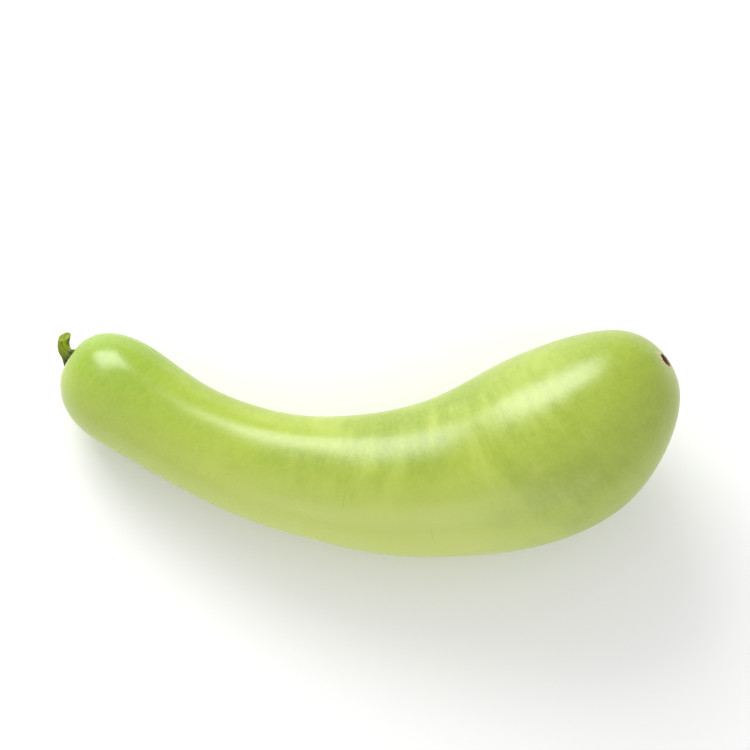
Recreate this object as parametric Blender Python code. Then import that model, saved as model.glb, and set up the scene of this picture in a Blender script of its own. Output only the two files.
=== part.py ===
"""Bottle gourd with its cut stem, lying on its side as it comes to rest on a flat surface.

Units are metres, +Z is up, and the origin is the middle of the footprint, on the surface.
+X runs along the gourd from the stem end to the blossom end, and +Y points to the hollow side
of its bend. The gourd is drawn in its own growing frame, where the bend lies in the XY plane,
and one empty then lays it down on the side that it rests on.
"""

import math

import bmesh
import bpy
from mathutils import Vector
from mathutils.geometry import intersect_point_tri

# The middle line of the fruit: a straight neck, an even bend, then a straight end.
LENGTH = 0.3147
NECK_HEADING = math.radians(-33.2)
BEND = math.radians(65.5)
BEND_FROM = 0.181
BEND_TO = 0.840
# From half way along, the blossom end also lifts out of the plane of the bend.
LIFT = math.radians(26.0)
LIFT_FROM = 0.5

# Radii at even steps along the middle line, before both ends are rounded off.
BODY_RADII = (0.0283, 0.0245, 0.0283, 0.0370, 0.0468, 0.0452)
STEM_CAP = 0.0396
STEM_CAP_POWER = 2.27
BLOSSOM_CAP = 0.1137
BLOSSOM_CAP_POWER = 2.43

# Both ends are a little lopsided: the flesh leans to the outside of the bend, most of all at
# this distance from the pole. Each is a lean and its distance.
STEM_END_LEAN = (0.00105, 0.030)
BLOSSOM_END_LEAN = (0.0028, 0.050)

# Slow swells that keep the cross-section from being a true circle: share, turns, drift.
SWELLS = ((0.008, 2, 3.0), (0.005, 3, -5.0))

# The shallow dimple that the stem stands in, and the scar that the flower left.
DIMPLE_DEPTH = 0.0011
DIMPLE_FLOOR = 0.0050
DIMPLE_EDGE = 0.0120
SCAR_RADIUS = 0.0043
SCAR_DEPTH = 0.0009
SCAR_LIP = 0.0003
SCAR_LIP_WIDTH = 0.0020

# The cut stem: its own middle line, its width, and the five ribs that run down it.
STEM_LENGTH = 0.0122
STEM_TURN = math.radians(-66.0)
STEM_TURN_BY = 0.93
STEM_BASE_RADIUS = 0.0045
STEM_RADIUS = 0.0032
STEM_TIP_RADIUS = 0.0027
STEM_FLARE = 0.0040
STEM_RIBS = 5
STEM_RIB_SHARE = 0.07
STEM_RIB_FADE = 0.6
# The knife went through at a slant, so the cut faces up and a little away from the bend.
STEM_CUT_SLANT = math.radians(48.0)
STEM_CUT_FACES = math.radians(20.0)
STEM_CUT_FROM = 0.25
STEM_GAP = 0.0003

# How far the skin gives way where it bears on the surface.
REST_FLAT = 0.00035

# Edges that turn more than this, such as the rim of the stem's cut, stay crisp.
CRISP_EDGE = math.radians(40)

RINGS_STEM_CAP = 13
RINGS_MIDDLE = 15
RINGS_BLOSSOM_CAP = 19
FRUIT_COLUMNS = 44
STEM_RINGS = 13
STEM_COLUMNS = 20
CAP_CROWDING = 1.5


def ease(share):
    """0 to 1 with level ends."""
    share = min(max(share, 0.0), 1.0)
    return share * share * (3 - 2 * share)


def through(values, share):
    """Catmull-Rom curve through evenly spaced values, at a share of the way along."""
    last = len(values) - 1
    place = min(max(share, 0.0), 1.0) * last
    step = min(int(place), last - 1)
    f = place - step
    before = values[step - 1] if step else 2 * values[0] - values[1]
    after = values[step + 2] if step + 2 <= last else 2 * values[last] - values[last - 1]
    a, b = values[step], values[step + 1]
    return a + f * (b - before) / 2 + f * f * (2 * before - 5 * a + 4 * b - after) / 2 + f**3 * (
        3 * a - before - 3 * b + after
    ) / 2


def fruit_direction(share):
    """Unit direction of the fruit's middle line."""
    heading = NECK_HEADING + BEND * min(max((share - BEND_FROM) / (BEND_TO - BEND_FROM), 0.0), 1.0)
    lift = LIFT * ease((share - LIFT_FROM) / (1 - LIFT_FROM))
    return Vector(
        (math.cos(lift) * math.cos(heading), math.cos(lift) * math.sin(heading), math.sin(lift))
    )


def fruit_point(share, steps=400):
    """Point of the fruit's middle line, walked from the stem end."""
    point = Vector()
    count = max(1, round(steps * share))
    for step in range(count):
        point += fruit_direction(share * (step + 0.5) / count) * (LENGTH * share / count)
    return point


def across(direction):
    """The two unit directions across a middle line: level, to its left, and upwards."""
    level = Vector((-direction.y, direction.x, 0)).normalized()
    return level, direction.cross(level)


def fruit_radius(along):
    """Radius of the fruit at a distance along its middle line."""
    start = max(1 - along / STEM_CAP, 0.0)
    end = max(1 - (LENGTH - along) / BLOSSOM_CAP, 0.0)
    rounded_start = (1 - start**STEM_CAP_POWER) ** (1 / STEM_CAP_POWER)
    rounded_end = (1 - end**BLOSSOM_CAP_POWER) ** (1 / BLOSSOM_CAP_POWER)
    return through(BODY_RADII, along / LENGTH) * rounded_start * rounded_end


def lean(along):
    """How far the flesh stands to the outside of the bend, at a distance along the middle line."""
    total = 0.0
    for size, reach, distance in ((*STEM_END_LEAN, along), (*BLOSSOM_END_LEAN, LENGTH - along)):
        total += size * (distance / reach * math.exp(1 - distance / reach)) ** 2
    return total


def stations():
    """Distances along the middle line, crowded towards both poles, without the poles."""
    found = []
    for ring in range(1, RINGS_STEM_CAP + 1):
        turn = math.pi / 2 * (ring / RINGS_STEM_CAP) ** CAP_CROWDING
        found.append(STEM_CAP * (1 - max(math.cos(turn), 0.0) ** (2 / STEM_CAP_POWER)))
    middle = LENGTH - STEM_CAP - BLOSSOM_CAP
    found += [STEM_CAP + middle * ring / RINGS_MIDDLE for ring in range(1, RINGS_MIDDLE)]
    for ring in range(RINGS_BLOSSOM_CAP, 0, -1):
        turn = math.pi / 2 * (ring / RINGS_BLOSSOM_CAP) ** CAP_CROWDING
        found.append(LENGTH - BLOSSOM_CAP * (1 - max(math.cos(turn), 0.0) ** (2 / BLOSSOM_CAP_POWER)))
    return found


def stem_dimple(radius):
    """How far the stem end is pushed in, at a distance from its pole."""
    return DIMPLE_DEPTH * ease((DIMPLE_EDGE - radius) / (DIMPLE_EDGE - DIMPLE_FLOOR))


def scar_depth(radius):
    """How far the blossom end is pushed in, at a distance from its pole. A lip stands round it."""
    pit = SCAR_DEPTH * ease(2 * (SCAR_RADIUS - radius) / SCAR_RADIUS)
    lip = SCAR_LIP * max(0.0, 1 - abs(radius - SCAR_RADIUS - SCAR_LIP_WIDTH / 2) / SCAR_LIP_WIDTH)
    return pit - lip


def material(name, colour, roughness):
    """Plain Principled material."""
    made = bpy.data.materials.new(name)
    made.use_nodes = True
    shader = made.node_tree.nodes["Principled BSDF"]
    shader.inputs["Base Color"].default_value = (*colour, 1.0)
    shader.inputs["Roughness"].default_value = roughness
    shader.inputs["Metallic"].default_value = 0.0
    return made


def add_ring(mesh, centre, level, upward, radius_at, columns):
    """A ring of vertices whose radius can vary round it."""
    ring = []
    for column in range(columns):
        angle = 2 * math.pi * column / columns
        out = level * math.cos(angle) + upward * math.sin(angle)
        ring.append(mesh.verts.new(centre + out * radius_at(angle)))
    return ring


def join_rings(mesh, rings, first_pole, last_pole):
    """Skin over the rings, closed by a fan at each pole."""
    for near, far in zip(rings, rings[1:]):
        for i in range(len(near)):
            j = (i + 1) % len(near)
            mesh.faces.new((near[i], near[j], far[j], far[i]))
    for i in range(len(rings[0])):
        j = (i + 1) % len(rings[0])
        mesh.faces.new((first_pole, rings[0][j], rings[0][i]))
        mesh.faces.new((last_pole, rings[-1][i], rings[-1][j]))
    bmesh.ops.recalc_face_normals(mesh, faces=mesh.faces)


def draw_fruit():
    """The whole fruit as one closed skin, in its growing frame."""
    mesh = bmesh.new()
    rings = []
    for along in stations():
        share = along / LENGTH
        direction = fruit_direction(share)
        level, upward = across(direction)
        radius = fruit_radius(along)
        near_stem = along < LENGTH / 2
        push = stem_dimple(radius) if near_stem else -scar_depth(radius)

        def swollen(angle, radius=radius, share=share):
            swell = sum(size * math.sin(turns * angle + drift * share) for size, turns, drift in SWELLS)
            return radius * (1 + swell * ease(radius / BODY_RADII[1]))

        centre = fruit_point(share) + direction * push - level * lean(along)
        rings.append(add_ring(mesh, centre, level, upward, swollen, FRUIT_COLUMNS))
    stem_pole = mesh.verts.new(fruit_direction(0) * stem_dimple(0))
    blossom_pole = mesh.verts.new(fruit_point(1) - fruit_direction(1) * scar_depth(0))
    join_rings(mesh, rings, stem_pole, blossom_pole)
    return mesh


def height_by_stem(radius):
    """Height of the fruit's skin over its stem pole's plane, at a distance from the stem's line."""
    drop = STEM_CAP * (1 - (1 - (radius / fruit_side_radius()) ** STEM_CAP_POWER) ** (1 / STEM_CAP_POWER))
    return -drop - stem_dimple(radius)


def fruit_side_radius():
    """Radius of the neck just behind its rounded end."""
    return through(BODY_RADII, 0.0)


def stem_radius(share, angle):
    """Radius of the stem: a flared, ribbed foot that narrows to a nearly round cut end."""
    body = STEM_RADIUS + (STEM_TIP_RADIUS - STEM_RADIUS) * share
    foot = (STEM_BASE_RADIUS - STEM_RADIUS) * (1 - ease(share * STEM_LENGTH / STEM_FLARE))
    rib = 1 + STEM_RIB_SHARE * (1 - STEM_RIB_FADE * share) * math.cos(STEM_RIBS * angle)
    return (body + foot) * rib


def draw_stem():
    """The cut stem, standing in the dimple and curling towards the hollow side."""
    mesh = bmesh.new()
    outward = -fruit_direction(0)
    start_heading = math.atan2(outward.y, outward.x)
    rings = []
    point = outward * (height_by_stem(0) + STEM_GAP)
    step = STEM_LENGTH / (STEM_RINGS - 1)
    for number in range(STEM_RINGS):
        share = number / (STEM_RINGS - 1)
        heading = start_heading + STEM_TURN * ease(share / STEM_TURN_BY)
        direction = Vector((math.cos(heading), math.sin(heading), 0))
        level, upward = across(direction)
        ring = add_ring(
            mesh, point, level, upward, lambda angle, share=share: stem_radius(share, angle), STEM_COLUMNS
        )
        if number == 0:
            for vertex in ring:
                from_line = (vertex.co - point).length
                vertex.co += outward * (height_by_stem(from_line) - height_by_stem(0))
        slant = math.tan(STEM_CUT_SLANT) * ease((share - STEM_CUT_FROM) / (1 - STEM_CUT_FROM))
        cut_faces = upward * math.cos(STEM_CUT_FACES) + level * math.sin(STEM_CUT_FACES)
        for vertex in ring:
            vertex.co -= direction * ((vertex.co - point).dot(cut_faces) * slant)
        rings.append(ring)
        point = point + direction * step
    foot = mesh.verts.new(outward * (height_by_stem(0) + STEM_GAP))
    tip_centre = sum((vertex.co for vertex in rings[-1]), Vector()) / STEM_COLUMNS
    join_rings(mesh, rings, foot, mesh.verts.new(tip_centre))
    return mesh


def centre_of_mass(mesh):
    """Centre of a closed skin filled evenly, from the tetrahedra between its faces and the origin."""
    total, weighted = 0.0, Vector()
    for a, b, c in (loop_corners(loops) for loops in mesh.calc_loop_triangles()):
        volume = a.dot(b.cross(c)) / 6
        total += volume
        weighted += volume * (a + b + c) / 4
    return weighted / total


def loop_corners(loops):
    """The three corners of a loop triangle."""
    return [loop.vert.co for loop in loops]


def resting_direction(mesh):
    """Which way is down for the gourd at rest, in its growing frame.

    It rests on a face of its convex hull that its centre of mass stands over. Several faces do
    that, and the one that leaves the plane of the bend most nearly level is taken.
    """
    middle = centre_of_mass(mesh)
    hull = bmesh.new()
    for vertex in mesh.verts:
        hull.verts.new(vertex.co)
    bmesh.ops.convex_hull(hull, input=hull.verts)
    bmesh.ops.recalc_face_normals(hull, faces=hull.faces)
    steady = []
    for face in hull.faces:
        face.normal_update()
        corners = [vertex.co for vertex in face.verts[:3]]
        if face.normal.z < 0 and intersect_point_tri(middle, *corners):
            steady.append(face.normal.copy())
    hull.free()
    return min(steady, key=lambda normal: normal.z)


def flatten_where_it_rests(mesh, down):
    """The skin gives way by a hair where it bears on the surface."""
    floor = max(vertex.co.dot(down) for vertex in mesh.verts) - REST_FLAT
    for vertex in mesh.verts:
        too_low = vertex.co.dot(down) - floor
        if too_low > 0:
            vertex.co -= down * too_low


def add_object(name, mesh, finish, parent):
    """A smooth-shaded object from a mesh."""
    data = bpy.data.meshes.new(name)
    mesh.to_mesh(data)
    mesh.free()
    data.shade_smooth()
    data.set_sharp_from_angle(angle=CRISP_EDGE)
    data.materials.append(finish)
    made = bpy.data.objects.new(name, data)
    bpy.context.scene.collection.objects.link(made)
    made.parent = parent
    return made


def main():
    for old in list(bpy.data.objects):
        bpy.data.objects.remove(old)

    fruit = draw_fruit()
    stem = draw_stem()
    down = resting_direction(fruit)
    flatten_where_it_rests(fruit, down)

    lay_down = down.rotation_difference(Vector((0, 0, -1)))
    corners = [lay_down @ vertex.co for skin in (fruit, stem) for vertex in skin.verts]
    low = [min(corner[axis] for corner in corners) for axis in range(3)]
    high = [max(corner[axis] for corner in corners) for axis in range(3)]

    at_rest = bpy.data.objects.new("gourd_at_rest", None)
    bpy.context.scene.collection.objects.link(at_rest)
    at_rest.rotation_mode = "QUATERNION"
    at_rest.rotation_quaternion = lay_down
    at_rest.location = (-(low[0] + high[0]) / 2, -(low[1] + high[1]) / 2, -low[2])

    add_object("fruit", fruit, material("gourd_skin", (0.45, 0.58, 0.11), 0.35), at_rest)
    add_object("stem", stem, material("stem_green", (0.17, 0.21, 0.05), 0.6), at_rest)


main()
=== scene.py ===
# %% [markdown]
# # A bottle gourd on a white table
#
# One picked gourd with its cut stem, lying where it comes to rest. The first cell loads the
# solid model that fixes its real size and place. Everything made after it is laid over that
# model: a finer skin, a finer stem, their colours, a table and studio light.

# %% Load the solid model
import math

import bpy
import numpy as np
from mathutils import Matrix, Vector


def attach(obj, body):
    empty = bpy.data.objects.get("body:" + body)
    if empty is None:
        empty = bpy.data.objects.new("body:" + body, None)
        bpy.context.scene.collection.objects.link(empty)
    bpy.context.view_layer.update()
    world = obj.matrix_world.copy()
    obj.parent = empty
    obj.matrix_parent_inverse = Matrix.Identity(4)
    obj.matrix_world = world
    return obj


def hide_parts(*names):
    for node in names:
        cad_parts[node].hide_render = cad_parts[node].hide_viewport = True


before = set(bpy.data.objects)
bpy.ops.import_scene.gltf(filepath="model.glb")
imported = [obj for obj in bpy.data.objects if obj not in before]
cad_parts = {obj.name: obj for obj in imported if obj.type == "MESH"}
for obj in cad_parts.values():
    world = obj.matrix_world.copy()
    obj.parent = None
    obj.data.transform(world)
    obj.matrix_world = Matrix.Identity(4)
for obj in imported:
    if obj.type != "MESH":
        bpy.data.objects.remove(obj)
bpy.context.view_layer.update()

# %% [markdown]
# ## Two frames
#
# A bent gourd is easiest to draw the way it grew, with its bend lying in the XY plane and the
# stem at the origin. On the table it has rolled over by a few degrees onto its neck and its full
# end. One matrix takes every drawn point from the growing frame to the table. Its turn is the
# shortest one that brings the side that ends up on top to +Z, and its shift puts the stem
# end of the middle line where the solid model has it.

# %% From the growing frame to the table
TOP_SIDE = Vector((0.0489, -0.0876, 0.9950))
STEM_POLE = Vector((-0.14040, 0.04181, 0.02247))

turn_to_rest = TOP_SIDE.rotation_difference(Vector((0, 0, 1))).to_matrix()
to_table = Matrix.Translation(STEM_POLE) @ turn_to_rest.to_4x4()
print("rolled by", round(math.degrees(TOP_SIDE.angle(Vector((0, 0, 1)))), 1), "degrees")

# %% [markdown]
# ## Camera
#
# A long lens from over a metre away keeps the two ends of the gourd in proportion. It looks down
# almost square onto the bend, tipped a little so that the scar at the far end shows as a narrow
# oval. Because the tip is measured from the bend, the camera is set up in the growing frame and
# goes through the same matrix as the gourd.

# %% Put up the camera
CAMERA_LENS = 120
CAMERA_DISTANCE = 1.2
CAMERA_TIP = math.radians(12)
LOOK_AT = Vector((0.1463, -0.0090, 0.0))

camera = bpy.data.objects.new("camera", bpy.data.cameras.new("camera"))
bpy.context.scene.collection.objects.link(camera)
camera.data.lens = CAMERA_LENS
camera.data.sensor_width = 36
tipped = Matrix.Rotation(CAMERA_TIP, 4, "X")
camera.matrix_world = (
    to_table @ Matrix.Translation(LOOK_AT) @ tipped @ Matrix.Translation((0, 0, CAMERA_DISTANCE))
)
bpy.context.scene.camera = camera
print("camera stands at", [round(part, 3) for part in camera.matrix_world.translation])

# %% [markdown]
# ## Table
#
# The table is a plain white sheet, far wider than the view, so that no edge of it shows. It also
# sends light back up under the gourd, as a sweep of white paper does in a studio.

# %% A white table
TABLE_SIZE = 6.0
TABLE_WHITE = 0.93
TABLE_ROUGHNESS = 0.6

table_mesh = bpy.data.meshes.new("table")
half = TABLE_SIZE / 2
table_mesh.from_pydata(
    [(-half, -half, 0), (half, -half, 0), (half, half, 0), (-half, half, 0)], [], [(0, 1, 2, 3)]
)
table = bpy.data.objects.new("table", table_mesh)
bpy.context.scene.collection.objects.link(table)
table_paint = bpy.data.materials.new("table_white")
table_paint.use_nodes = True
table_shader = table_paint.node_tree.nodes["Principled BSDF"]
table_shader.inputs["Base Color"].default_value = (TABLE_WHITE, TABLE_WHITE, TABLE_WHITE, 1)
table_shader.inputs["Roughness"].default_value = TABLE_ROUGHNESS
table_mesh.materials.append(table_paint)
print("table:", TABLE_SIZE, "m square")

# %% [markdown]
# ## Studio light
#
# A white surround lights the gourd evenly from all over, as a light tent does. A large softbox
# stands on the hollow side of the bend and gives the long soft highlight. A wider, weaker panel
# round it is the light that spills over its rim, and a white card on the other side lifts the
# shaded flank. A picture of a studio could light the gourd too, but panels need no file, and each
# one can be moved. The standard view keeps colours as they are mixed.

# %% A light tent, a softbox and a white card
TENT_BRIGHTNESS = 0.75

world = bpy.data.worlds.new("light_tent")
world.use_nodes = True
world.node_tree.nodes["Background"].inputs["Color"].default_value = (1, 1, 1, 1)
world.node_tree.nodes["Background"].inputs["Strength"].default_value = TENT_BRIGHTNESS
bpy.context.scene.world = world


def add_panel(name, sideways, height, distance, width, tall, brightness):
    """A flat lit panel aimed at the gourd: turned sideways from +Y to -X, at a height angle."""
    panel = bpy.data.lights.new(name, "AREA")
    panel.shape = "RECTANGLE"
    panel.size, panel.size_y = width, tall
    panel.energy = brightness * math.pi * width * tall
    holder = bpy.data.objects.new(name, panel)
    bpy.context.scene.collection.objects.link(holder)
    towards = Vector(
        (-math.sin(sideways) * math.cos(height), math.cos(sideways) * math.cos(height), math.sin(height))
    )
    holder.location = towards * distance
    holder.rotation_mode = "QUATERNION"
    holder.rotation_quaternion = towards.to_track_quat("Z", "Y")
    print(name, "radiates", round(panel.energy, 1), "W")


add_panel(
    "softbox", sideways=math.radians(23), height=math.radians(33), distance=1.0,
    width=0.66, tall=0.58, brightness=6.2,
)
add_panel(
    "softbox_spill", sideways=math.radians(24), height=math.radians(33), distance=1.05,
    width=1.0, tall=1.0, brightness=0.8,
)
add_panel(
    "white_card", sideways=math.radians(180), height=math.radians(25), distance=1.2,
    width=1.6, tall=0.8, brightness=0.9,
)
bpy.context.scene.view_settings.view_transform = "Standard"

# %% [markdown]
# ## Small tools for shapes
#
# Both pieces are swept: rings of points follow a middle line, and their radius changes along it.
# NumPy works out whole grids of points at once, so a skin of ninety thousand points takes a
# moment. The bumps that no two gourds share come from a few sine waves in random directions with
# a fixed seed, which gives the same gourd each time.

# %% Ease, curve and noise
def ease(share):
    """0 to 1 with level ends."""
    share = np.clip(share, 0.0, 1.0)
    return share * share * (3 - 2 * share)


def through(values, share):
    """Catmull-Rom curve through evenly spaced values, at shares of the way along."""
    values = np.array([2 * values[0] - values[1], *values, 2 * values[-1] - values[-2]])
    last = len(values) - 3
    place = np.clip(share, 0, 1) * last
    step = np.minimum(place.astype(int), last - 1)
    f = place - step
    before, a, b, after = (values[step + k] for k in range(4))
    return a + f * (b - before) / 2 + f * f * (2 * before - 5 * a + 4 * b - after) / 2 + f**3 * (
        3 * a - before - 3 * b + after
    ) / 2


def hills(points, size, seed, waves=16):
    """Smooth hills and hollows about size across, mostly between -1 and 1."""
    chance = np.random.default_rng(seed)
    ways = chance.normal(size=(waves, 3))
    ways /= np.linalg.norm(ways, axis=1, keepdims=True) * size * chance.uniform(0.7, 1.6, (waves, 1))
    starts = chance.uniform(0, 2 * np.pi, waves)
    return np.sin(2 * np.pi * points @ ways.T + starts).sum(-1) / math.sqrt(waves)


def around(angle, turns, seed):
    """Uneven waves round a ring, from the given whole numbers of turns, between -1 and 1."""
    chance = np.random.default_rng(seed)
    total = sum(
        np.sin(count * angle + chance.uniform(0, 2 * np.pi)) * chance.uniform(0.5, 1) for count in turns
    )
    return total / math.sqrt(len(turns))


print("half way through 1, 3, 2:", through([1, 3, 2], np.array([0.5]))[0])


# %% [markdown]
# ## From rings to a mesh
#
# A grid of rings becomes a mesh when each point is joined to its neighbour in the ring and to the
# same point of the next ring. A fan of triangles closes each end at a pole. A bevelled curve makes
# such a tube in one step, but its rings are plain circles. In a grid every point can be moved,
# and numbers for the material can be stored point by point.

# %% Skin over rings
def skin_over(name, rings, first_pole, last_pole):
    """A closed smooth mesh over a grid of rings, in the growing frame, laid on the table."""
    count, columns = rings.shape[:2]
    points = np.vstack([rings.reshape(-1, 3), first_pole, last_pole])
    turn = np.array(to_table.to_3x3())
    points = points @ turn.T + np.array(to_table.translation)
    near = np.arange(columns)
    ahead = (near + 1) % columns
    start = np.arange(count - 1)[:, None] * columns
    quads = np.stack(
        [start + near, start + ahead, start + columns + ahead, start + columns + near], -1
    ).reshape(-1, 4)
    first, last = count * columns, count * columns + 1
    end = (count - 1) * columns
    faces = quads.tolist()
    faces += [(first, int(j), int(i)) for i, j in zip(near, ahead)]
    faces += [(last, int(end + i), int(end + j)) for i, j in zip(near, ahead)]
    mesh = bpy.data.meshes.new(name)
    mesh.from_pydata(points.tolist(), [], faces)
    mesh.shade_smooth()
    made = bpy.data.objects.new(name, mesh)
    bpy.context.scene.collection.objects.link(made)
    print(name, "has", len(mesh.vertices), "points and", len(mesh.polygons), "faces")
    return made


def keep_numbers(made, name, values):
    """Stores one number or one vector for each point, for the material to read."""
    kind, slot = ("FLOAT_VECTOR", "vector") if values.ndim == 2 else ("FLOAT", "value")
    layer = made.data.attributes.new(name, kind, "POINT")
    layer.data.foreach_set(slot, values.astype(np.float32).ravel())


# %% [markdown]
# ## The middle line of the fruit
#
# The gourd hung from its stem with the neck straight, then something stopped it and it grew round
# in an even bend. The full end also twists out of that plane. The line is walked in small steps
# along a heading in the plane and a lift out of it, which is how a plant grows: forwards, turning
# a little all the time. These are the solid model's own measures.

# %% Walk the middle line
LENGTH = 0.3147
NECK_HEADING = math.radians(-33.2)
BEND = math.radians(65.5)
BEND_FROM, BEND_TO = 0.181, 0.840
LIFT = math.radians(26.0)
LIFT_FROM = 0.5

walk = np.linspace(0, 1, 6001)
heading = NECK_HEADING + BEND * np.clip((walk - BEND_FROM) / (BEND_TO - BEND_FROM), 0, 1)
lift = LIFT * ease((walk - LIFT_FROM) / (1 - LIFT_FROM))
forwards = np.stack(
    [np.cos(lift) * np.cos(heading), np.cos(lift) * np.sin(heading), np.sin(lift)], -1
)
steps = (forwards[1:] + forwards[:-1]) / 2 * LENGTH / (len(walk) - 1)
middle_line = np.vstack([np.zeros(3), np.cumsum(steps, axis=0)])


def on_line(values, share):
    """Values kept along the walk, read at shares of its length."""
    return np.stack([np.interp(share, walk, values[:, axis]) for axis in range(3)], -1)


def across(direction):
    """The two directions across a line: level, to its left, and upwards."""
    level = np.stack([-direction[:, 1], direction[:, 0], 0 * direction[:, 0]], -1)
    level /= np.linalg.norm(level, axis=1, keepdims=True)
    return level, np.cross(direction, level)


print("ends", round(1000 * float(np.linalg.norm(middle_line[-1])), 1), "mm apart in a straight line")

# %% [markdown]
# ## How thick it is
#
# A smooth curve through six radii gives the slim neck and the full end. Each end is rounded off
# by a superellipse, which is blunter than a ball, as the ends of a gourd are. Rings are spaced by
# the way over the skin, a millimetre apart on the body and much closer at both poles, where the
# dimple and the scar need fine detail.

# %% Radii and ring places
BODY_RADII = (0.0283, 0.0245, 0.0283, 0.0370, 0.0468, 0.0452)
STEM_CAP, STEM_CAP_POWER = 0.0396, 2.27
BLOSSOM_CAP, BLOSSOM_CAP_POWER = 0.1137, 2.43
STEM_END_LEAN, BLOSSOM_END_LEAN = (0.00105, 0.030), (0.0028, 0.050)
COLUMNS = 256
BODY_STEP = 0.0011
POLE_STEP = 0.00016
FINE_REACH = 0.014


def fruit_radius(along):
    """Radius of the fruit at distances along its middle line."""
    start = np.clip(1 - along / STEM_CAP, 0, 1)
    end = np.clip(1 - (LENGTH - along) / BLOSSOM_CAP, 0, 1)
    rounded = (1 - start**STEM_CAP_POWER) ** (1 / STEM_CAP_POWER)
    rounded = rounded * (1 - end**BLOSSOM_CAP_POWER) ** (1 / BLOSSOM_CAP_POWER)
    return through(BODY_RADII, along / LENGTH) * rounded


def lean(along):
    """How far the flesh stands to the outside of the bend."""
    return sum(
        size * (distance / reach * np.exp(1 - distance / reach)) ** 2
        for (size, reach), distance in ((STEM_END_LEAN, along), (BLOSSOM_END_LEAN, LENGTH - along))
    )


profile = LENGTH * (1 - np.cos(np.pi * np.linspace(0, 1, 60001))) / 2
profile_radius = fruit_radius(profile)
over_skin = np.concatenate([[0], np.cumsum(np.hypot(np.diff(profile), np.diff(profile_radius)))])
to_pole = np.minimum(over_skin, over_skin[-1] - over_skin)
ring_step = POLE_STEP + (BODY_STEP - POLE_STEP) * ease(to_pole / FINE_REACH)
ring_count = np.concatenate([[0], np.cumsum(np.diff(over_skin) / ring_step[1:])])
wanted = np.arange(1, int(ring_count[-1]))
along = np.interp(wanted * ring_count[-1] / (wanted[-1] + 1), ring_count, profile)
radius = fruit_radius(along)
print(len(along), "rings; thickest", round(2000 * radius.max(), 1), "mm")

# %% [markdown]
# ## The relief of the skin
#
# Close to, the skin is not a turned shape. It swells a little to one side, has slow dents as wide
# as a thumb, and faint flutes run from end to end over the veins. Round the stem it is drawn in
# like a tied sack, in short creases. All of it is a few tenths of a millimetre high. A
# bump in the material would do for a picture, but the shape is wanted too, so it is in the mesh.

# %% Shape the skin
SWELLS = ((0.008, 2, 3.0), (0.005, 3, -5.0))
DENT_DEPTH, DENT_SIZE = 0.00022, 0.045
FLUTES, FLUTE_DEPTH, FLUTE_SWAY = 10, 0.00006, 2
POLE_CALM = 0.02
CREASES = (7, 9, 12, 16)
CREASE_DEPTH, CREASE_LEVEL = 0.0003, 0.4
CREASE_FROM, CREASE_FADE_IN = 0.0045, 0.002
CREASE_TO, CREASE_FADE_OUT = 0.0150, 0.007

share = (along / LENGTH)[:, None]
angle = np.linspace(0, 2 * np.pi, COLUMNS, endpoint=False)[None, :]
swell = sum(size * np.sin(turns * angle + drift * share) for size, turns, drift in SWELLS)
swollen = radius[:, None] * (1 + swell * ease(radius[:, None] / BODY_RADII[1]))

grown_straight = np.stack(
    [
        np.broadcast_to(along[:, None], swollen.shape),
        swollen * np.cos(angle),
        swollen * np.sin(angle),
    ],
    -1,
)
clear_of_poles = ease(radius[:, None] / POLE_CALM)
dents = DENT_DEPTH * hills(grown_straight, DENT_SIZE, seed=4) * clear_of_poles
flutes = FLUTE_DEPTH * np.cos(FLUTES * angle + FLUTE_SWAY * np.sin(3 * share)) * clear_of_poles
by_stem = along[:, None] < LENGTH / 2
crease_belt = ease((swollen - CREASE_FROM) / CREASE_FADE_IN) * by_stem
crease_belt = crease_belt * ease((CREASE_TO - swollen) / CREASE_FADE_OUT)
creases = CREASE_DEPTH * (np.abs(around(angle, CREASES, seed=8)) - CREASE_LEVEL) * crease_belt
outwards = dents + flutes
print("dents and flutes:", round(1000 * outwards.min(), 2), "to", round(1000 * outwards.max(), 2), "mm")

# %% [markdown]
# ## The dimple and the scar
#
# The stem stands in a shallow dimple. At the other end the flower dropped off and left a corky
# scar the size of a pea: a ragged rim that dries pale on top, a sunken brown floor that cracked
# as it dried, and the stub of the style. The scar sits a little off the pole. Its depth depends on
# the distance from its own middle, made uneven by waves round it.

# %% Dimple, scar pit, lip and cracks
DIMPLE_DEPTH, DIMPLE_FLOOR, DIMPLE_EDGE = 0.0011, 0.0050, 0.0120
SCAR_RADIUS, SCAR_DEPTH = 0.0041, 0.0009
SCAR_ASIDE, SCAR_UP = -0.0007, 0.0004
SCAR_WALL = 2.6
SCAR_LIP, SCAR_LIP_WIDTH, SCAR_LIP_OUT = 0.00035, 0.0016, 0.0004
CRACK_DEPTH, CRACK_SIZE = 0.00035, 0.0016
STYLE_RADIUS, STYLE_HEIGHT, STYLE_WALL = 0.0009, 0.0006, 1.4
PUCKER_DEPTH, PUCKER_TO, PUCKER_FADE = 0.00007, 0.011, 0.006

dimple = DIMPLE_DEPTH * ease((DIMPLE_EDGE - swollen) / (DIMPLE_EDGE - DIMPLE_FLOOR)) * by_stem

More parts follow.
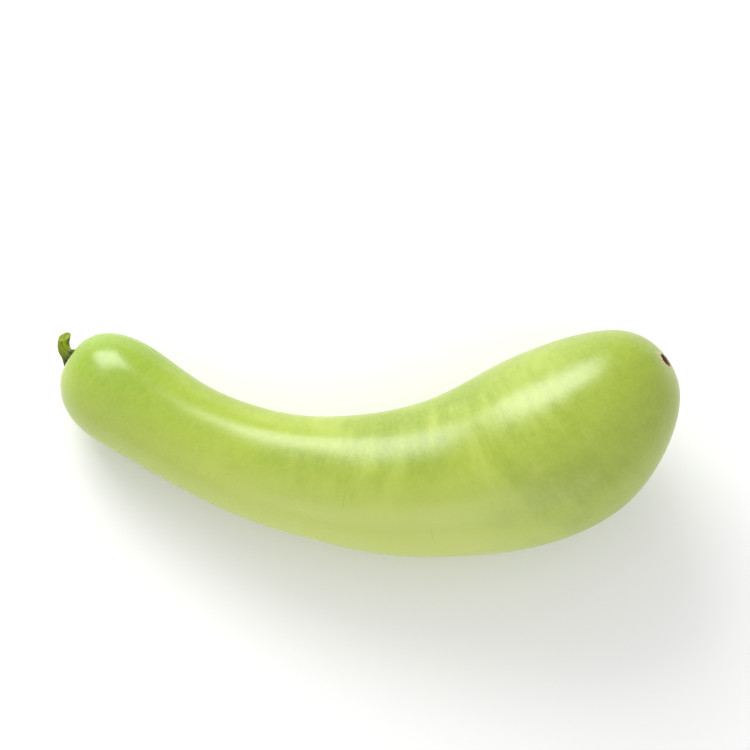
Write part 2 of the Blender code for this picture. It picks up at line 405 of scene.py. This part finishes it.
ragged = 0.90 + 0.07 * around(angle, (2, 3, 5), seed=21) + 0.05 * around(angle, (11, 17, 23), seed=22)
from_scar = np.hypot(
    swollen * np.cos(angle) - SCAR_ASIDE, swollen * np.sin(angle) - SCAR_UP
)
from_centre = from_scar / (SCAR_RADIUS * ragged)
by_scar = ~by_stem
pit = SCAR_DEPTH * ease(SCAR_WALL * (1 - from_centre))
from_lip = from_scar - SCAR_RADIUS * ragged - SCAR_LIP_OUT
lip = SCAR_LIP * np.exp(-(from_lip / (SCAR_LIP_WIDTH / 2)) ** 2)
lip = lip * (1 + 0.5 * around(angle, (7, 13, 19, 31), seed=23))
cracks = CRACK_DEPTH * ease(1 - from_centre) * np.abs(hills(grown_straight, CRACK_SIZE, seed=24))
style = STYLE_HEIGHT * ease(STYLE_WALL * (1 - swollen / STYLE_RADIUS))
puckers = PUCKER_DEPTH * around(angle, (13, 18, 25), seed=25) * ease((from_centre - 1) / 0.3)
puckers = puckers * ease((PUCKER_TO - swollen) / PUCKER_FADE)
scar_push = (lip - pit - cracks + style + puckers) * by_scar

push = dimple - creases + scar_push
print("scar", round(2000 * SCAR_RADIUS, 1), "mm across; deepest", round(-1000 * scar_push.min(), 2), "mm")

# %% [markdown]
# ## Laying the skin
#
# Each ring stands square across the middle line, a little to the outside of the bend near both
# ends, where the flesh bulges. The mesh is laid on the table by the matrix from the first step.
# The few points that would end up below the table are pressed flat, as the skin is under the
# gourd's weight. A boolean cut would do it too, but it leaves long thin faces.

# %% Lay the skin on the table
direction = on_line(forwards, along / LENGTH)
direction /= np.linalg.norm(direction, axis=1, keepdims=True)
level, upward = across(direction)
outward_way = level[:, None] * np.cos(angle)[..., None] + upward[:, None] * np.sin(angle)[..., None]
centres = on_line(middle_line, along / LENGTH) - level * lean(along)[:, None]
skin_rings = centres[:, None] + outward_way * (swollen + outwards)[..., None]
skin_rings = skin_rings + direction[:, None] * push[..., None]
stem_pole = forwards[0] * DIMPLE_DEPTH
blossom_pole = middle_line[-1] + forwards[-1] * (STYLE_HEIGHT - SCAR_DEPTH)
fruit = skin_over("gourd_skin", skin_rings, stem_pole, blossom_pole)

pressed = 0
for vertex in fruit.data.vertices:
    if vertex.co.z < 0:
        vertex.co.z = 0
        pressed += 1
print(pressed, "points of the skin press flat on the table")

# %% [markdown]
# ## Numbers that travel with the mesh
#
# A material can't tell how far a point is from the stem, or whether it is on cork. The mesh can:
# the place that each point would have if the gourd had grown straight, and masks for the scar and
# for the side outside the bend, which gets painted reflected light from the table, are stored on
# the points. A painted image could hold them, but these need no unwrapping and stay sharp.

# %% Numbers that the skin's material reads
CORK_TO, CORK_FADE = 1.13, 0.22
RIM_AT, RIM_WIDTH = 1.12, 0.16
HALO_AT, HALO_WIDTH = 1.2, 0.55
PAINTED_BOUNCE_START, PAINTED_BOUNCE_TURN = 0.20, 0.85

scar_tissue = ease((CORK_TO - from_centre) / CORK_FADE) * by_scar
scar_rim = np.exp(-((from_centre - RIM_AT) / RIM_WIDTH) ** 2) * by_scar
scar_halo = np.exp(-((from_centre - HALO_AT) / HALO_WIDTH) ** 2) * by_scar
# The side outside the bend, to be painted paler: painted reflected light from the white table.
painted_bounce_side = ease(PAINTED_BOUNCE_START - PAINTED_BOUNCE_TURN * np.cos(angle) + 0 * swollen)


def with_poles(grid, first, last):
    """A grid's numbers in the mesh's order, with the two poles at the end."""
    flat = grid.reshape(-1, grid.shape[-1]) if grid.ndim == 3 else grid.ravel()
    return np.concatenate([flat, np.array([first, last])])


keep_numbers(fruit, "grown_straight", with_poles(grown_straight, (0, 0, 0), (LENGTH, 0, 0)))
keep_numbers(fruit, "scar_tissue", with_poles(scar_tissue, 0, 1))
keep_numbers(fruit, "scar_rim", with_poles(scar_rim, 0, 0))
keep_numbers(fruit, "scar_halo", with_poles(scar_halo, 0, 0))
keep_numbers(fruit, "painted_bounce_side", with_poles(painted_bounce_side, 0.5, 0.5))
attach(fruit, "root")
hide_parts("fruit")
print("the skin carries", [layer.name for layer in fruit.data.attributes if layer.domain == "POINT"])

# %% [markdown]
# ## The cut stem
#
# A gourd's stalk is a bundle of five ribs with narrow grooves between them. It flares into five
# blunt toes where it holds the fruit, longer on the lower side, and curls over. It is swept like
# the fruit, with the ribs, toes and fibres as waves round each ring. A bevelled curve would give
# the curl, but not the ribs.

# %% Sweep the stem
STEM_LENGTH = 0.0122
STEM_TURN, STEM_TURN_BY = math.radians(-66.0), 0.93
STEM_BASE_RADIUS, STEM_RADIUS, STEM_TIP_RADIUS = 0.0045, 0.0032, 0.0027
STEM_FLARE = 0.0040
STEM_RIBS = 5
STEM_TWIST = 0.5
RIB_DEPTH, RIB_LEVEL, RIB_FADE = 0.00034, 0.2, 0.35
GROOVE_SHARPNESS = 2.2
FIBRE_DEPTH = 0.00004
TOE_LEAST, TOE_SWING, LOWER_TOES = 0.75, 0.45, 0.7
STEM_CUT_SLANT, STEM_CUT_FACES, STEM_CUT_FROM = math.radians(48.0), math.radians(20.0), 0.25
STEM_COLUMNS, SIDE_RINGS, CUT_RINGS = 160, 120, 34

side = np.linspace(0, 1, SIDE_RINGS)
outward = -forwards[0]
stem_heading = math.atan2(outward[1], outward[0]) + STEM_TURN * ease(side / STEM_TURN_BY)
stem_way = np.stack([np.cos(stem_heading), np.sin(stem_heading), 0 * side], -1)
stem_step = STEM_LENGTH / (SIDE_RINGS - 1)
stem_line = np.vstack([np.zeros(3), np.cumsum(stem_way[:-1] * stem_step, axis=0)])
stem_line = stem_line - outward * DIMPLE_DEPTH

stem_angle = np.linspace(0, 2 * np.pi, STEM_COLUMNS, endpoint=False)[None, :]
s = side[:, None]
body = STEM_RADIUS + (STEM_TIP_RADIUS - STEM_RADIUS) * s
toe = (STEM_BASE_RADIUS - STEM_RADIUS) * (1 - ease(s * STEM_LENGTH / STEM_FLARE))
twist = stem_angle + STEM_TWIST * s
groove = 1 - np.abs(np.cos(STEM_RIBS / 2 * twist))
lower_toes = 1 + LOWER_TOES * np.clip(np.cos(stem_angle), 0, 1)
stem_radius = body + toe * lower_toes * (TOE_LEAST + TOE_SWING * np.cos(STEM_RIBS * twist))
rib_relief = groove**GROOVE_SHARPNESS - RIB_LEVEL
stem_radius = stem_radius - RIB_DEPTH * rib_relief * (1 - RIB_FADE * s)
fibre = around(twist, (17, 23, 31, 43), seed=31) + 0.5 * around(twist + 3 * s, (29, 37), seed=32)
stem_radius = stem_radius + FIBRE_DEPTH * fibre
half_way = SIDE_RINGS // 2
print("stem", round(2000 * float(stem_radius[half_way].mean()), 1), "mm thick")

# %% [markdown]
# ## The cut end
#
# A knife took the stem off on a slant. The last stretch of rings leans over step by step to meet
# the cut, and smaller rings on the same slant cover it. They sink towards the middle, where the
# pith dried and shrank, with rays between the bundles of veins. A boolean cut would give a flat
# face with a sharp edge, and this one is neither.

# %% Cut face and finished stem
CUT_SINK, CUT_SINK_BY = 0.0007, 0.5
CUT_ROUNDING = 0.9
CUT_RIM = 0.12
RAY_HEIGHT = 0.00006
PITH_LUMPS = 0.002

cut = np.linspace(0, 1, CUT_RINGS + 1)[1:-1][:, None]
cut_radius = stem_radius[-1] * (1 - cut) ** CUT_ROUNDING
rim_in = ease(cut / CUT_RIM)
rays = RAY_HEIGHT * around(stem_angle, (10, 15, 22), seed=33) * rim_in
pith_lumps = hills(cut_radius[..., None] * np.array([1, 0.3, 0]), PITH_LUMPS, seed=35)
sink = -CUT_SINK * ease(cut / CUT_SINK_BY) * (0.8 + 0.2 * pith_lumps)

stem_level, stem_up = across(stem_way)


def stem_ring(centre, way, level, upward, radii, ahead=0.0):
    """Points of a ring round the stem, pushed ahead along it."""
    out = level * np.cos(stem_angle)[..., None] + upward * np.sin(stem_angle)[..., None]
    return centre + out * radii[..., None] + way * np.asarray(ahead)[..., None]


facing = np.sin(stem_angle + STEM_CUT_FACES)
slant = -math.tan(STEM_CUT_SLANT) * facing
side_rings = stem_ring(
    stem_line[:, None], stem_way[:, None], stem_level[:, None], stem_up[:, None],
    stem_radius, slant * stem_radius * ease((s - STEM_CUT_FROM) / (1 - STEM_CUT_FROM)),
)
cut_rings = stem_ring(
    stem_line[-1], stem_way[-1], stem_level[-1], stem_up[-1],
    cut_radius, slant * cut_radius + sink + rays,
)
stem_rings = np.concatenate([side_rings, cut_rings])
foot = stem_line[0]
cut_centre = stem_line[-1] + stem_way[-1] * float(sink[-1].mean())
stem = skin_over("gourd_stem", stem_rings, foot, cut_centre)

over_cut = (1 - (1 - cut) ** CUT_ROUNDING) * cut_radius[0].mean()
stem_along = np.concatenate(
    [s * STEM_LENGTH + 0 * stem_radius, STEM_LENGTH + over_cut + 0 * cut_radius]
)
all_radii = np.concatenate([stem_radius, cut_radius])
stem_straight = np.stack(
    [stem_along, all_radii * np.cos(stem_angle), all_radii * np.sin(stem_angle)], -1
)
cut_face = np.concatenate([0 * stem_radius, ease((cut - CUT_RIM) / 0.25) + 0 * cut_radius])
groove_mask = np.concatenate([groove**1.5, 0 * cut_radius])
keep_numbers(stem, "grown_straight", with_poles(stem_straight, (0, 0, 0), (STEM_LENGTH, 0, 0)))
keep_numbers(stem, "cut_face", with_poles(cut_face, 0, 1))
keep_numbers(stem, "groove", with_poles(groove_mask, 0, 0))
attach(stem, "root")
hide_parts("stem")
print("the cut sinks by", round(-1000 * float(sink.min()), 2), "mm")

# %% [markdown]
# ## Small tools for materials
#
# A material is a tree of nodes. These helpers put a node in, give its sockets numbers or links,
# and mix one colour over another by a mask. Colours are written as they would be picked on a
# screen, from 0 to 255, and turned into the linear values that the renderer mixes.

# %% Nodes, mixes and colours
def paint(red, green, blue):
    """A screen colour as the linear colour that a socket holds."""
    parts = [part / 255 for part in (red, green, blue)]
    return (*[p / 12.92 if p <= 0.04045 else ((p + 0.055) / 1.055) ** 2.4 for p in parts], 1.0)


def feed(tree, socket, value):
    """Links an output into a socket, or sets its own value."""
    if isinstance(value, bpy.types.NodeSocket):
        tree.links.new(value, socket)
    else:
        socket.default_value = value


def put(tree, kind, sockets, **settings):
    """A new node with its settings, and its sockets fed by name."""
    made = tree.nodes.new("ShaderNode" + kind)
    made.location = (190 * len(tree.nodes), -60 * (len(tree.nodes) % 5))
    for setting, value in settings.items():
        setattr(made, setting, value)
    for name, value in sockets.items():
        feed(tree, made.inputs[name], value)
    return made


def over(tree, mask, under, top):
    """The colour top laid over under where the mask is 1."""
    mix = put(tree, "Mix", {0: mask, 6: under, 7: top}, data_type="RGBA")
    return mix.outputs[2]


def spread(tree, value, low, high, low_out=0.0, high_out=1.0):
    """A value from low to high made into a smooth step between two others."""
    step = put(
        tree, "MapRange",
        {"Value": value, "From Min": low, "From Max": high, "To Min": low_out, "To Max": high_out},
        interpolation_type="SMOOTHSTEP",
    )
    return step.outputs["Result"]


def work(tree, job, a, b=0.0):
    """One sum on one or two numbers."""
    return put(tree, "Math", {0: a, 1: b}, operation=job).outputs[0]


def stored(tree, name, vector=False):
    """Numbers that were stored on the mesh, as one number or as a vector."""
    reader = put(tree, "Attribute", {}, attribute_name=name)
    return reader.outputs["Vector" if vector else "Fac"]


def start_group(name, inputs, outputs):
    """An empty node group with its sockets, and its two end nodes."""
    group = bpy.data.node_groups.new(name, "ShaderNodeTree")
    for socket_name, kind, value in inputs:
        socket = group.interface.new_socket(socket_name, in_out="INPUT", socket_type="NodeSocket" + kind)
        if value is not None:
            socket.default_value = value
    for socket_name, kind in outputs:
        group.interface.new_socket(socket_name, in_out="OUTPUT", socket_type="NodeSocket" + kind)
    return group, group.nodes.new("NodeGroupInput").outputs, group.nodes.new("NodeGroupOutput").inputs


def use_group(tree, group, sockets):
    """A group placed in a material, with this material's own values."""
    placed = put(tree, "Group", {}, node_tree=group)
    for name, value in sockets.items():
        feed(tree, placed.inputs[name], value)
    return placed.outputs


print("leaf green is", [round(part, 3) for part in paint(150, 180, 70)[:3]])

# %% [markdown]
# ## Mottle: an effect for skin, stem and cork
#
# Plant colour is never flat. It clouds in patches that stretch one way: round the girth on this
# gourd, along the fibres on its stem. Fractal noise in stretched coordinates gives such patches.
# Noise could run in object space, but then it would cut straight through the bend, so it runs in
# the coordinates that the gourd would have had if it had grown straight.

# %% Build the mottle group
mottle, gin, gout = start_group(
    "mottle",
    [
        ("Place", "Vector", None), ("Patch along", "Float", 0.01),
        ("Patch across", "Float", 0.01), ("Cover", "Float", 0.5), ("Softness", "Float", 0.15),
        ("Detail", "Float", 3.0), ("Shift", "Float", 0.0),
    ],
    [("Mask", "Float"), ("Cloud", "Float")],
)
stretch = put(
    mottle, "CombineXYZ",
    {
        "X": work(mottle, "DIVIDE", 1.0, gin["Patch along"]),
        "Y": work(mottle, "DIVIDE", 1.0, gin["Patch across"]),
        "Z": work(mottle, "DIVIDE", 1.0, gin["Patch across"]),
    },
)
stretched = put(mottle, "VectorMath", {0: gin["Place"], 1: stretch.outputs[0]}, operation="MULTIPLY")
moved = put(mottle, "VectorMath", {0: stretched.outputs[0], 1: gin["Shift"]}, operation="ADD")
cloud = put(
    mottle, "TexNoise",
    {"Vector": moved.outputs[0], "Scale": 0.5, "Detail": gin["Detail"], "Roughness": 0.55},
).outputs[0]
edge = work(mottle, "SUBTRACT", 1.0, gin["Cover"])
edge = work(mottle, "ADD", work(mottle, "MULTIPLY", edge, 0.5), 0.25)
mask = spread(
    mottle, cloud,
    work(mottle, "SUBTRACT", edge, gin["Softness"]), work(mottle, "ADD", edge, gin["Softness"]),
)
mottle.links.new(mask, gout["Mask"])
mottle.links.new(cloud, gout["Cloud"])
print("mottle group:", len(mottle.nodes), "nodes")

# %% [markdown]
# ## Specks: an effect for skin and stem
#
# Pin-prick dots are scattered where a hair broke off or an insect fed. Voronoi cells put one dot
# in each cell, at an uneven spacing, and only a share of the cells keep theirs, so they do not
# look printed.

# %% Build the specks group
specks, gin, gout = start_group(
    "specks",
    [
        ("Place", "Vector", None), ("Spacing", "Float", 0.01),
        ("Size", "Float", 0.1), ("Share", "Float", 0.3),
    ],
    [("Mask", "Float")],
)
closer = put(
    specks, "VectorMath",
    {0: gin["Place"], "Scale": work(specks, "DIVIDE", 1.0, gin["Spacing"])}, operation="SCALE",
)
cells = put(specks, "TexVoronoi", {"Vector": closer.outputs[0], "Scale": 1.0, "Randomness": 1.0})
dot = spread(specks, cells.outputs["Distance"], gin["Size"], work(specks, "MULTIPLY", gin["Size"], 0.45))
luck = put(specks, "SeparateColor", {"Color": cells.outputs["Color"]})
kept = work(specks, "LESS_THAN", luck.outputs[0], gin["Share"])
faint = work(specks, "MULTIPLY", kept, luck.outputs[1])
specks.links.new(work(specks, "MULTIPLY", dot, faint), gout["Mask"])
print("specks group:", len(specks.nodes), "nodes")

# %% [markdown]
# ## Fine relief: an effect for every surface
#
# Under a lamp the skin shows fine pores, the cork shows grit and the stem shows threads. A coarse
# noise and one four times as fine, stretched along the piece or not, add up to a height that a
# Bump node turns into shading. They are too small for the mesh.

# %% Build the fine relief group
relief, gin, gout = start_group(
    "fine_relief",
    [
        ("Place", "Vector", None), ("Size", "Float", 0.001),
        ("Length", "Float", 1.0), ("Grit", "Float", 0.5),
    ],
    [("Height", "Float")],
)
sizes = put(
    relief, "CombineXYZ",
    {
        "X": work(relief, "DIVIDE", 1.0, work(relief, "MULTIPLY", gin["Size"], gin["Length"])),
        "Y": work(relief, "DIVIDE", 1.0, gin["Size"]),
        "Z": work(relief, "DIVIDE", 1.0, gin["Size"]),
    },
)
sized = put(relief, "VectorMath", {0: gin["Place"], 1: sizes.outputs[0]}, operation="MULTIPLY")
coarse = put(relief, "TexNoise", {"Vector": sized.outputs[0], "Scale": 1.0, "Detail": 1.0}).outputs[0]
fine = put(relief, "TexNoise", {"Vector": sized.outputs[0], "Scale": 4.0, "Detail": 3.0}).outputs[0]
height = work(relief, "ADD", coarse, work(relief, "MULTIPLY", fine, gin["Grit"]))
relief.links.new(height, gout["Height"])
print("fine relief group:", len(relief.nodes), "nodes")

# %% [markdown]
# ## The skin's colour
#
# A young bottle gourd is a light yellow-green under a thin wax. From the bottom up: a plain
# green, deeper patches as wide as a hand, a deeper full end, a greener neck, a paler side along
# the outside of the bend that is painted reflected light from the white table, and pale flecks
# that run round the girth. Each layer is one mask and one colour. The gourd could be painted by
# hand, but masks follow it from stem to scar.

# %% Mix the skin's colour
skin_finish = bpy.data.materials.new("gourd_skin")
skin_finish.use_nodes = True
tree = skin_finish.node_tree
skin_shader = tree.nodes["Principled BSDF"]

PLAIN_GREEN = paint(152, 172, 44)
DEEP_GREEN = paint(127, 150, 14)
PALE_FLECK = paint(184, 199, 90)
PAINTED_BOUNCE_PALE = paint(190, 202, 100)
NECK_GREEN = paint(116, 153, 8)
FULL_END_SHARE, NECK_SHARE, FLECK_SHARE = 0.5, 0.75, 0.42

place = stored(tree, "grown_straight", vector=True)
distance = put(tree, "SeparateXYZ", {0: place}).outputs[0]

patches = use_group(
    tree, mottle,
    {
        "Place": place, "Patch along": 0.045, "Patch across": 0.024,
        "Cover": 0.5, "Softness": 0.14, "Shift": 3.0,
    },
)
colour = over(tree, patches["Mask"], PLAIN_GREEN, DEEP_GREEN)
full_end = spread(tree, distance, 0.17, 0.28, 0.0, FULL_END_SHARE)
colour = over(tree, full_end, colour, DEEP_GREEN)
neck = spread(tree, distance, 0.085, 0.01, 0.0, NECK_SHARE)
colour = over(tree, neck, colour, NECK_GREEN)
past_neck = spread(tree, distance, 0.05, 0.13, 0.5, 0.9)
before_full_end = spread(tree, distance, 0.25, 0.19, 0.35, 1.0)
painted_bounce_strength = work(tree, "MULTIPLY", past_neck, before_full_end)
# Painted reflected light: the side outside the bend is made paler, as if lit from the table.
painted_bounce = work(tree, "MULTIPLY", stored(tree, "painted_bounce_side"), painted_bounce_strength)
colour = over(tree, painted_bounce, colour, PAINTED_BOUNCE_PALE)
print("skin colour so far:", len(tree.nodes), "nodes")

# %% Add the pale flecks
flecks = use_group(
    tree, mottle,
    {
        "Place": place, "Patch along": 0.0042, "Patch across": 0.011,
        "Cover": 0.45, "Softness": 0.24, "Detail": 2.0, "Shift": 11.0,
    },
)
fleck_zone = use_group(
    tree, mottle,
    {
        "Place": place, "Patch along": 0.022, "Patch across": 0.022,
        "Cover": 0.55, "Softness": 0.12, "Shift": 7.0,
    },
)
fade_to_neck = spread(tree, distance, 0.03, 0.13, 0.25, 1.0)
fade_to_scar = spread(tree, distance, 0.305, 0.26, 0.3, 1.0)
body_part = work(tree, "MULTIPLY", fade_to_neck, fade_to_scar)
zoned_flecks = work(tree, "MULTIPLY", flecks["Mask"], fleck_zone["Mask"])
fleck_mask = work(tree, "MULTIPLY", zoned_flecks, body_part)
colour = over(tree, work(tree, "MULTIPLY", fleck_mask, FLECK_SHARE), colour, PALE_FLECK)
print("with the flecks:", len(tree.nodes), "nodes")

# %% [markdown]
# ## Marks on the skin
#
# Over the green go the small accidents: a fine cloudy grain, a pale ring round the stem, dark
# pin-pricks and a few hairline scuffs. They are slight, but without them the skin looks like
# painted wood.

# %% Add the marks
STEM_RING = paint(176, 188, 88)
SPECK_BROWN = paint(92, 98, 40)
SCUFF_GREEN = paint(120, 138, 52)
GRAIN_SHARE, STEM_RING_SHARE, PRICK_SHARE, SCUFF_SHARE = 0.16, 0.8, 0.85, 0.22

grain = use_group(
    tree, mottle,
    {
        "Place": place, "Patch along": 0.0009, "Patch across": 0.0013,
        "Cover": 0.5, "Softness": 0.2, "Detail": 2.0,
    },
)
colour = over(tree, work(tree, "MULTIPLY", grain["Mask"], GRAIN_SHARE), colour, PALE_FLECK)

stem_ring_mask = spread(tree, distance, 0.0030, 0.0008, 0.0, STEM_RING_SHARE)
colour = over(tree, stem_ring_mask, colour, STEM_RING)

pricks = use_group(tree, specks, {"Place": place, "Spacing": 0.0085, "Size": 0.045, "Share": 0.55})
colour = over(tree, work(tree, "MULTIPLY", pricks["Mask"], PRICK_SHARE), colour, SPECK_BROWN)

scuffs = use_group(
    tree, mottle,
    {
        "Place": place, "Patch along": 0.0005, "Patch across": 0.007,
        "Cover": -0.16, "Softness": 0.02, "Detail": 0.0, "Shift": 31.0,
    },
)
colour = over(tree, work(tree, "MULTIPLY", scuffs["Mask"], SCUFF_SHARE), colour, SCUFF_GREEN)
print("with the marks:", len(tree.nodes), "nodes")

# %% [markdown]
# ## Scar and wax
#
# The scar is brown cork, with a pale dried rim and a greyish halo where the skin turned tough. The
# wax makes the skin softly glossy, duller on the flecks and not glossy at all on cork. These
# values change over the surface, so they come from the masks. Light goes a little way into the
# flesh, which softens the edge of the shade.

# %% Colour the scar
CORK_BROWN = paint(46, 38, 12)
CORK_RED = paint(92, 56, 34)
RIM_TAN = paint(206, 184, 150)
HALO_GREY = paint(178, 178, 112)
HALO_SHARE = 0.55

cork_cloud = use_group(
    tree, mottle,
    {
        "Place": place, "Patch along": 0.0011, "Patch across": 0.0013,
        "Cover": 0.5, "Softness": 0.12, "Shift": 2.0,
    },
)
cork = over(tree, cork_cloud["Mask"], CORK_BROWN, CORK_RED)
scar = stored(tree, "scar_tissue")
patchy = spread(tree, cork_cloud["Cloud"], 0.35, 0.6, 0.35, 1.0)
rim = work(tree, "MULTIPLY", stored(tree, "scar_rim"), patchy)
halo = work(tree, "MULTIPLY", stored(tree, "scar_halo"), HALO_SHARE)
colour = over(tree, halo, colour, HALO_GREY)
colour = over(tree, scar, colour, cork)
colour = over(tree, rim, colour, RIM_TAN)
tree.links.new(colour, skin_shader.inputs["Base Color"])
print("with the scar:", len(tree.nodes), "nodes")

# %% Wax, pores and soft flesh
WAX_LEAST, WAX_MOST = 0.25, 0.33
FLECK_DULLNESS, CORK_ROUGHNESS = 0.05, 0.85
GRIT_SHARE = 4.0
BUMP_HEIGHT = 0.00012

waxy = spread(tree, patches["Cloud"], 0.3, 0.7, WAX_LEAST, WAX_MOST)
waxy = work(tree, "ADD", waxy, work(tree, "MULTIPLY", fleck_mask, FLECK_DULLNESS))
rough = work(tree, "MAXIMUM", waxy, work(tree, "MULTIPLY", scar, CORK_ROUGHNESS))
tree.links.new(rough, skin_shader.inputs["Roughness"])

pores = use_group(tree, relief, {"Place": place, "Size": 0.0016, "Length": 0.6, "Grit": 0.35})
cork_grit = use_group(tree, relief, {"Place": place, "Size": 0.0005, "Grit": 0.8})
grit_on_scar = work(tree, "MULTIPLY", work(tree, "MULTIPLY", cork_grit["Height"], scar), GRIT_SHARE)
bumps = work(tree, "ADD", pores["Height"], grit_on_scar)
bump = put(tree, "Bump", {"Height": bumps, "Strength": 0.35, "Distance": BUMP_HEIGHT})
tree.links.new(bump.outputs[0], skin_shader.inputs["Normal"])
skin_shader.inputs["IOR"].default_value = 1.6
skin_shader.inputs["Subsurface Weight"].default_value = 0.12
skin_shader.inputs["Subsurface Radius"].default_value = (0.6, 1.0, 0.25)
skin_shader.inputs["Subsurface Scale"].default_value = 0.004
fruit.data.materials.append(skin_finish)
print("skin material:", len(tree.nodes), "nodes")

# %% [markdown]
# ## The stem's finish
#
# The stalk is a darker olive green than the fruit. Its ribs are paler, and its grooves are painted
# darker as painted shade. Near the foot, where it sits in the dimple, painted shade makes it nearly
# black. The cut dried to a dull green, and its pith shows as paler spongy patches inside the rim.
# The same three groups serve again, stretched along the stalk.

# %% Mix the stem's colours
stem_finish = bpy.data.materials.new("stem_green")
stem_finish.use_nodes = True
tree = stem_finish.node_tree
stem_shader = tree.nodes["Principled BSDF"]

RIB_GREEN = paint(122, 140, 10)
OLIVE = paint(92, 110, 2)
GROOVE_SHADE_GREEN = paint(76, 90, 2)
FOOT_SHADE_AND_SPECK_DARK = paint(36, 42, 2)
TIP_OLIVE = paint(112, 118, 14)
PITH = paint(132, 148, 26)
PITH_DARK = paint(100, 116, 6)
GROOVE_SHADE_SHARE, BLOTCH_SHARE, FOOT_SHADE_SHARE = 0.8, 0.3, 0.85
TIP_SHARE, STEM_PRICK_SHARE, PITH_SHARE = 0.7, 0.7, 0.8

place = stored(tree, "grown_straight", vector=True)
distance = put(tree, "SeparateXYZ", {0: place}).outputs[0]
threads = use_group(
    tree, mottle,
    {"Place": place, "Patch along": 0.006, "Patch across": 0.0006, "Cover": 0.5, "Softness": 0.16},
)
blotches = use_group(
    tree, mottle,
    {
        "Place": place, "Patch along": 0.003, "Patch across": 0.0025,
        "Cover": 0.4, "Softness": 0.12, "Shift": 5.0,
    },
)
colour = over(tree, threads["Mask"], OLIVE, RIB_GREEN)
# Painted shade: the grooves between the ribs are painted darker.
painted_groove_shade = work(tree, "MULTIPLY", stored(tree, "groove"), GROOVE_SHADE_SHARE)
colour = over(tree, painted_groove_shade, colour, GROOVE_SHADE_GREEN)
colour = over(tree, work(tree, "MULTIPLY", blotches["Mask"], BLOTCH_SHARE), colour, TIP_OLIVE)
# Painted shade: the stem turns nearly black near its foot, where it sits in the dimple.
painted_foot_shade = spread(tree, distance, 0.0045, 0.0008, 0.0, FOOT_SHADE_SHARE)
colour = over(tree, painted_foot_shade, colour, FOOT_SHADE_AND_SPECK_DARK)
tip_dry = spread(tree, distance, 0.0140, 0.0164, 0.0, TIP_SHARE)
colour = over(tree, tip_dry, colour, TIP_OLIVE)
# The same dark colour also marks real pin-prick specks along the stem.
stem_pricks = use_group(tree, specks, {"Place": place, "Spacing": 0.0016, "Size": 0.12, "Share": 0.4})
colour = over(tree, work(tree, "MULTIPLY", stem_pricks["Mask"], STEM_PRICK_SHARE), colour, FOOT_SHADE_AND_SPECK_DARK)
print("stem colour so far:", len(tree.nodes), "nodes")

# %% Colour the cut and finish the stem
STEM_DULL_LEAST, STEM_DULL_MOST = 0.38, 0.52
STEM_SHINE = 0.18
THREAD_HEIGHT = 0.00015

pith_cloud = use_group(
    tree, mottle,
    {
        "Place": place, "Patch along": 0.0006, "Patch across": 0.0006,
        "Cover": 0.5, "Softness": 0.12, "Shift": 9.0,
    },
)
pith = over(tree, pith_cloud["Mask"], PITH, PITH_DARK)
on_cut = work(tree, "MULTIPLY", stored(tree, "cut_face"), PITH_SHARE)
colour = over(tree, on_cut, colour, pith)
tree.links.new(colour, stem_shader.inputs["Base Color"])
dull = spread(tree, threads["Cloud"], 0.3, 0.7, STEM_DULL_LEAST, STEM_DULL_MOST)
tree.links.new(dull, stem_shader.inputs["Roughness"])
stem_shader.inputs["Specular IOR Level"].default_value = STEM_SHINE
thread_relief = use_group(tree, relief, {"Place": place, "Size": 0.0004, "Length": 9.0, "Grit": 0.5})
bump = put(tree, "Bump", {"Height": thread_relief["Height"], "Strength": 0.6, "Distance": THREAD_HEIGHT})
tree.links.new(bump.outputs[0], stem_shader.inputs["Normal"])
stem.data.materials.append(stem_finish)
print("stem material:", len(tree.nodes), "nodes")
